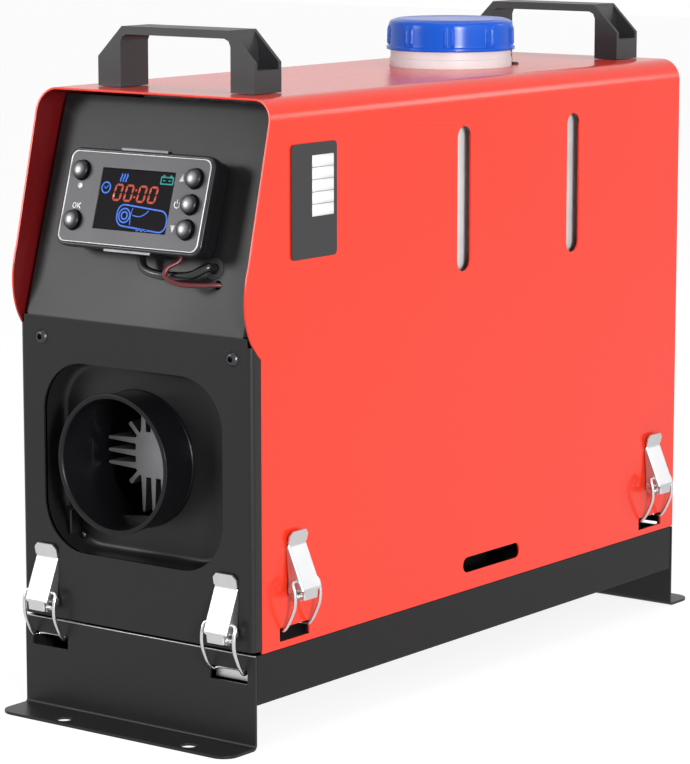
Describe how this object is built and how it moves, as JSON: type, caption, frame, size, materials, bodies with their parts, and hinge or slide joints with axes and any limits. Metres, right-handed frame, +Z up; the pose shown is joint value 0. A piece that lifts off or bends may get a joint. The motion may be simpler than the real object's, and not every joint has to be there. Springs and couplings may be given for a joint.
{
  "type": "diesel air heater",
  "caption": "Portable diesel air heater: folded red housing on a black base, round hot-air outlet, fuel tank with screw cap, controller with display, handles and draw latches.",
  "frame": {"origin": "on the floor, below the middle of the housing", "axes": "+X to the right seen from the outlet side, -Y out of the hot-air outlet, +Z up"},
  "size_m": [0.1776, 0.4456, 0.3583],
  "materials": {
    "red_coat": "glossy powder coat",
    "black_coat": "satin powder coat",
    "black_plastic": "fine texture",
    "casing_plastic": "moulded",
    "bright_steel": "polished",
    "cast_aluminium": "as cast",
    "pump_metal": "brushed",
    "white_plastic": "blow-moulded",
    "blue_plastic": "glossy",
    "dark_rubber": "matt",
    "face_grey": "satin metallic",
    "screen_black": "glossy display",
    "button_metal": "metallised",
    "red_wire": "satin",
    "label_black": "printed film"
  },
  "bodies": {
    "housing": {"outer_shell": "red_coat", "front_panel": "black_coat", "recess_dish": "black_coat", "rear_panel": "black_coat", "base_tray": "black_coat", "front_foot": "black_coat", "rear_foot": "black_coat", "outlet_collar": "black_plastic", "heat_exchanger": "cast_aluminium", "heater_case": "casing_plastic", "blower_motor": "pump_metal", "exhaust_pipe": "cast_aluminium", "intake_pipe": "casing_plastic", "fuel_tank": "white_plastic", "fuel_pump": "pump_metal", "tank_hose": "dark_rubber", "pump_hose": "dark_rubber", "control_unit": "casing_plastic", "front_handle": "black_plastic", "rear_handle": "black_plastic", "panel_screw_left": "bright_steel", "panel_screw_right": "bright_steel", "rear_screw_lower_left": "bright_steel", "rear_screw_lower_right": "bright_steel", "rear_screw_upper_left": "bright_steel", "rear_screw_upper_right": "bright_steel", "controller_bracket": "black_plastic", "controller_case": "black_plastic", "controller_face": "face_grey", "controller_screen": "screen_black", "controller_lead": "dark_rubber", "controller_lead_red": "red_wire", "lead_grommet": "dark_rubber", "rating_label": "label_black", "front_left_latch_keeper": "bright_steel", "front_right_latch_keeper": "bright_steel", "right_front_latch_keeper": "bright_steel", "right_rear_latch_keeper": "bright_steel", "left_front_latch_keeper": "bright_steel", "left_rear_latch_keeper": "bright_steel"},
    "blower": {"blower_wheel": "casing_plastic"},
    "cap_rise_carrier": {"cap_seal": "dark_rubber"},
    "cap": {"fuel_cap": "blue_plastic"},
    "menu_button": {"button_menu": "button_metal"},
    "ok_button": {"button_ok": "button_metal"},
    "up_button": {"button_up": "button_metal"},
    "power_button": {"button_power": "button_metal"},
    "down_button": {"button_down": "button_metal"},
    "front_left_lever": {"front_left_latch_lever": "bright_steel"},
    "front_left_bail": {"front_left_latch_bail": "bright_steel"},
    "front_right_lever": {"front_right_latch_lever": "bright_steel"},
    "front_right_bail": {"front_right_latch_bail": "bright_steel"},
    "right_front_lever": {"right_front_latch_lever": "bright_steel"},
    "right_front_bail": {"right_front_latch_bail": "bright_steel"},
    "right_rear_lever": {"right_rear_latch_lever": "bright_steel"},
    "right_rear_bail": {"right_rear_latch_bail": "bright_steel"},
    "left_front_lever": {"left_front_latch_lever": "bright_steel"},
    "left_front_bail": {"left_front_latch_bail": "bright_steel"},
    "left_rear_lever": {"left_rear_latch_lever": "bright_steel"},
    "left_rear_bail": {"left_rear_latch_bail": "bright_steel"}
  },
  "joints": [
    {"name": "blower_spin", "type": "hinge", "parent": "housing", "child": "blower", "pos_m": [-0.0085, 0.12, 0.1381], "axis": [0, 1, 0], "continuous": true},
    {"name": "cap_rise", "type": "slide", "parent": "housing", "child": "cap_rise_carrier", "axis": [0, 0, 1], "range_m": [0, 0.0046]},
    {"name": "cap_turn", "type": "hinge", "parent": "cap_rise_carrier", "child": "cap", "pos_m": [0, 0.0775, 0.34], "axis": [0, 0, 1], "range_deg": [0, 540]},
    {"name": "menu_press", "type": "slide", "parent": "housing", "child": "menu_button", "axis": [0, 0.9573, -0.289], "range_m": [0, 0.0008], "stiffness_N_per_m": 400, "springref_m": -0.0005},
    {"name": "ok_press", "type": "slide", "parent": "housing", "child": "ok_button", "axis": [0, 0.9573, -0.289], "range_m": [0, 0.0008], "stiffness_N_per_m": 400, "springref_m": -0.0005},
    {"name": "up_press", "type": "slide", "parent": "housing", "child": "up_button", "axis": [0, 0.9573, -0.289], "range_m": [0, 0.0008], "stiffness_N_per_m": 400, "springref_m": -0.0005},
    {"name": "power_press", "type": "slide", "parent": "housing", "child": "power_button", "axis": [0, 0.9573, -0.289], "range_m": [0, 0.0008], "stiffness_N_per_m": 400, "springref_m": -0.0005},
    {"name": "down_press", "type": "slide", "parent": "housing", "child": "down_button", "axis": [0, 0.9573, -0.289], "range_m": [0, 0.0008], "stiffness_N_per_m": 400, "springref_m": -0.0005},
    {"name": "front_left_lever_open", "type": "hinge", "parent": "housing", "child": "front_left_lever", "pos_m": [-0.0603, -0.2059, 0.0567], "axis": [1, 0, 0], "range_deg": [0, 115]},
    {"name": "front_left_bail_swing", "type": "hinge", "parent": "front_left_lever", "child": "front_left_bail", "pos_m": [-0.0603, -0.2059, 0.0645], "axis": [1, 0, 0], "range_deg": [-138, 0]},
    {"name": "front_right_lever_open", "type": "hinge", "parent": "housing", "child": "front_right_lever", "pos_m": [0.0603, -0.2059, 0.0567], "axis": [1, 0, 0], "range_deg": [0, 115]},
    {"name": "front_right_bail_swing", "type": "hinge", "parent": "front_right_lever", "child": "front_right_bail", "pos_m": [0.0603, -0.2059, 0.0645], "axis": [1, 0, 0], "range_deg": [-138, 0]},
    {"name": "right_front_lever_open", "type": "hinge", "parent": "housing", "child": "right_front_lever", "pos_m": [0.0836, -0.1674, 0.0757], "axis": [0, 1, 0], "range_deg": [0, 115]},
    {"name": "right_front_bail_swing", "type": "hinge", "parent": "right_front_lever", "child": "right_front_bail", "pos_m": [0.0836, -0.1674, 0.0835], "axis": [0, 1, 0], "range_deg": [-138, 0]},
    {"name": "right_rear_lever_open", "type": "hinge", "parent": "housing", "child": "right_rear_lever", "pos_m": [0.0836, 0.174, 0.0757], "axis": [0, 1, 0], "range_deg": [0, 115]},
    {"name": "right_rear_bail_swing", "type": "hinge", "parent": "right_rear_lever", "child": "right_rear_bail", "pos_m": [0.0836, 0.174, 0.0835], "axis": [0, 1, 0], "range_deg": [-138, 0]},
    {"name": "left_front_lever_open", "type": "hinge", "parent": "housing", "child": "left_front_lever", "pos_m": [-0.0836, -0.1674, 0.0757], "axis": [0, -1, 0], "range_deg": [0, 115]},
    {"name": "left_front_bail_swing", "type": "hinge", "parent": "left_front_lever", "child": "left_front_bail", "pos_m": [-0.0836, -0.1674, 0.0835], "axis": [0, -1, 0], "range_deg": [-138, 0]},
    {"name": "left_rear_lever_open", "type": "hinge", "parent": "housing", "child": "left_rear_lever", "pos_m": [-0.0836, 0.174, 0.0757], "axis": [0, -1, 0], "range_deg": [0, 115]},
    {"name": "left_rear_bail_swing", "type": "hinge", "parent": "left_rear_lever", "child": "left_rear_bail", "pos_m": [-0.0836, 0.174, 0.0835], "axis": [0, -1, 0], "range_deg": [-138, 0]}
  ],
  "couplings": [
    {"joint": "cap_rise", "follows": "cap_turn", "m_per_rad": 0.00047746},
    {"joint": "front_left_bail_swing", "follows": "front_left_lever_open", "ratio": -1.2},
    {"joint": "front_right_bail_swing", "follows": "front_right_lever_open", "ratio": -1.2},
    {"joint": "right_front_bail_swing", "follows": "right_front_lever_open", "ratio": -1.2},
    {"joint": "right_rear_bail_swing", "follows": "right_rear_lever_open", "ratio": -1.2},
    {"joint": "left_front_bail_swing", "follows": "left_front_lever_open", "ratio": -1.2},
    {"joint": "left_rear_bail_swing", "follows": "left_rear_lever_open", "ratio": -1.2}
  ]
}
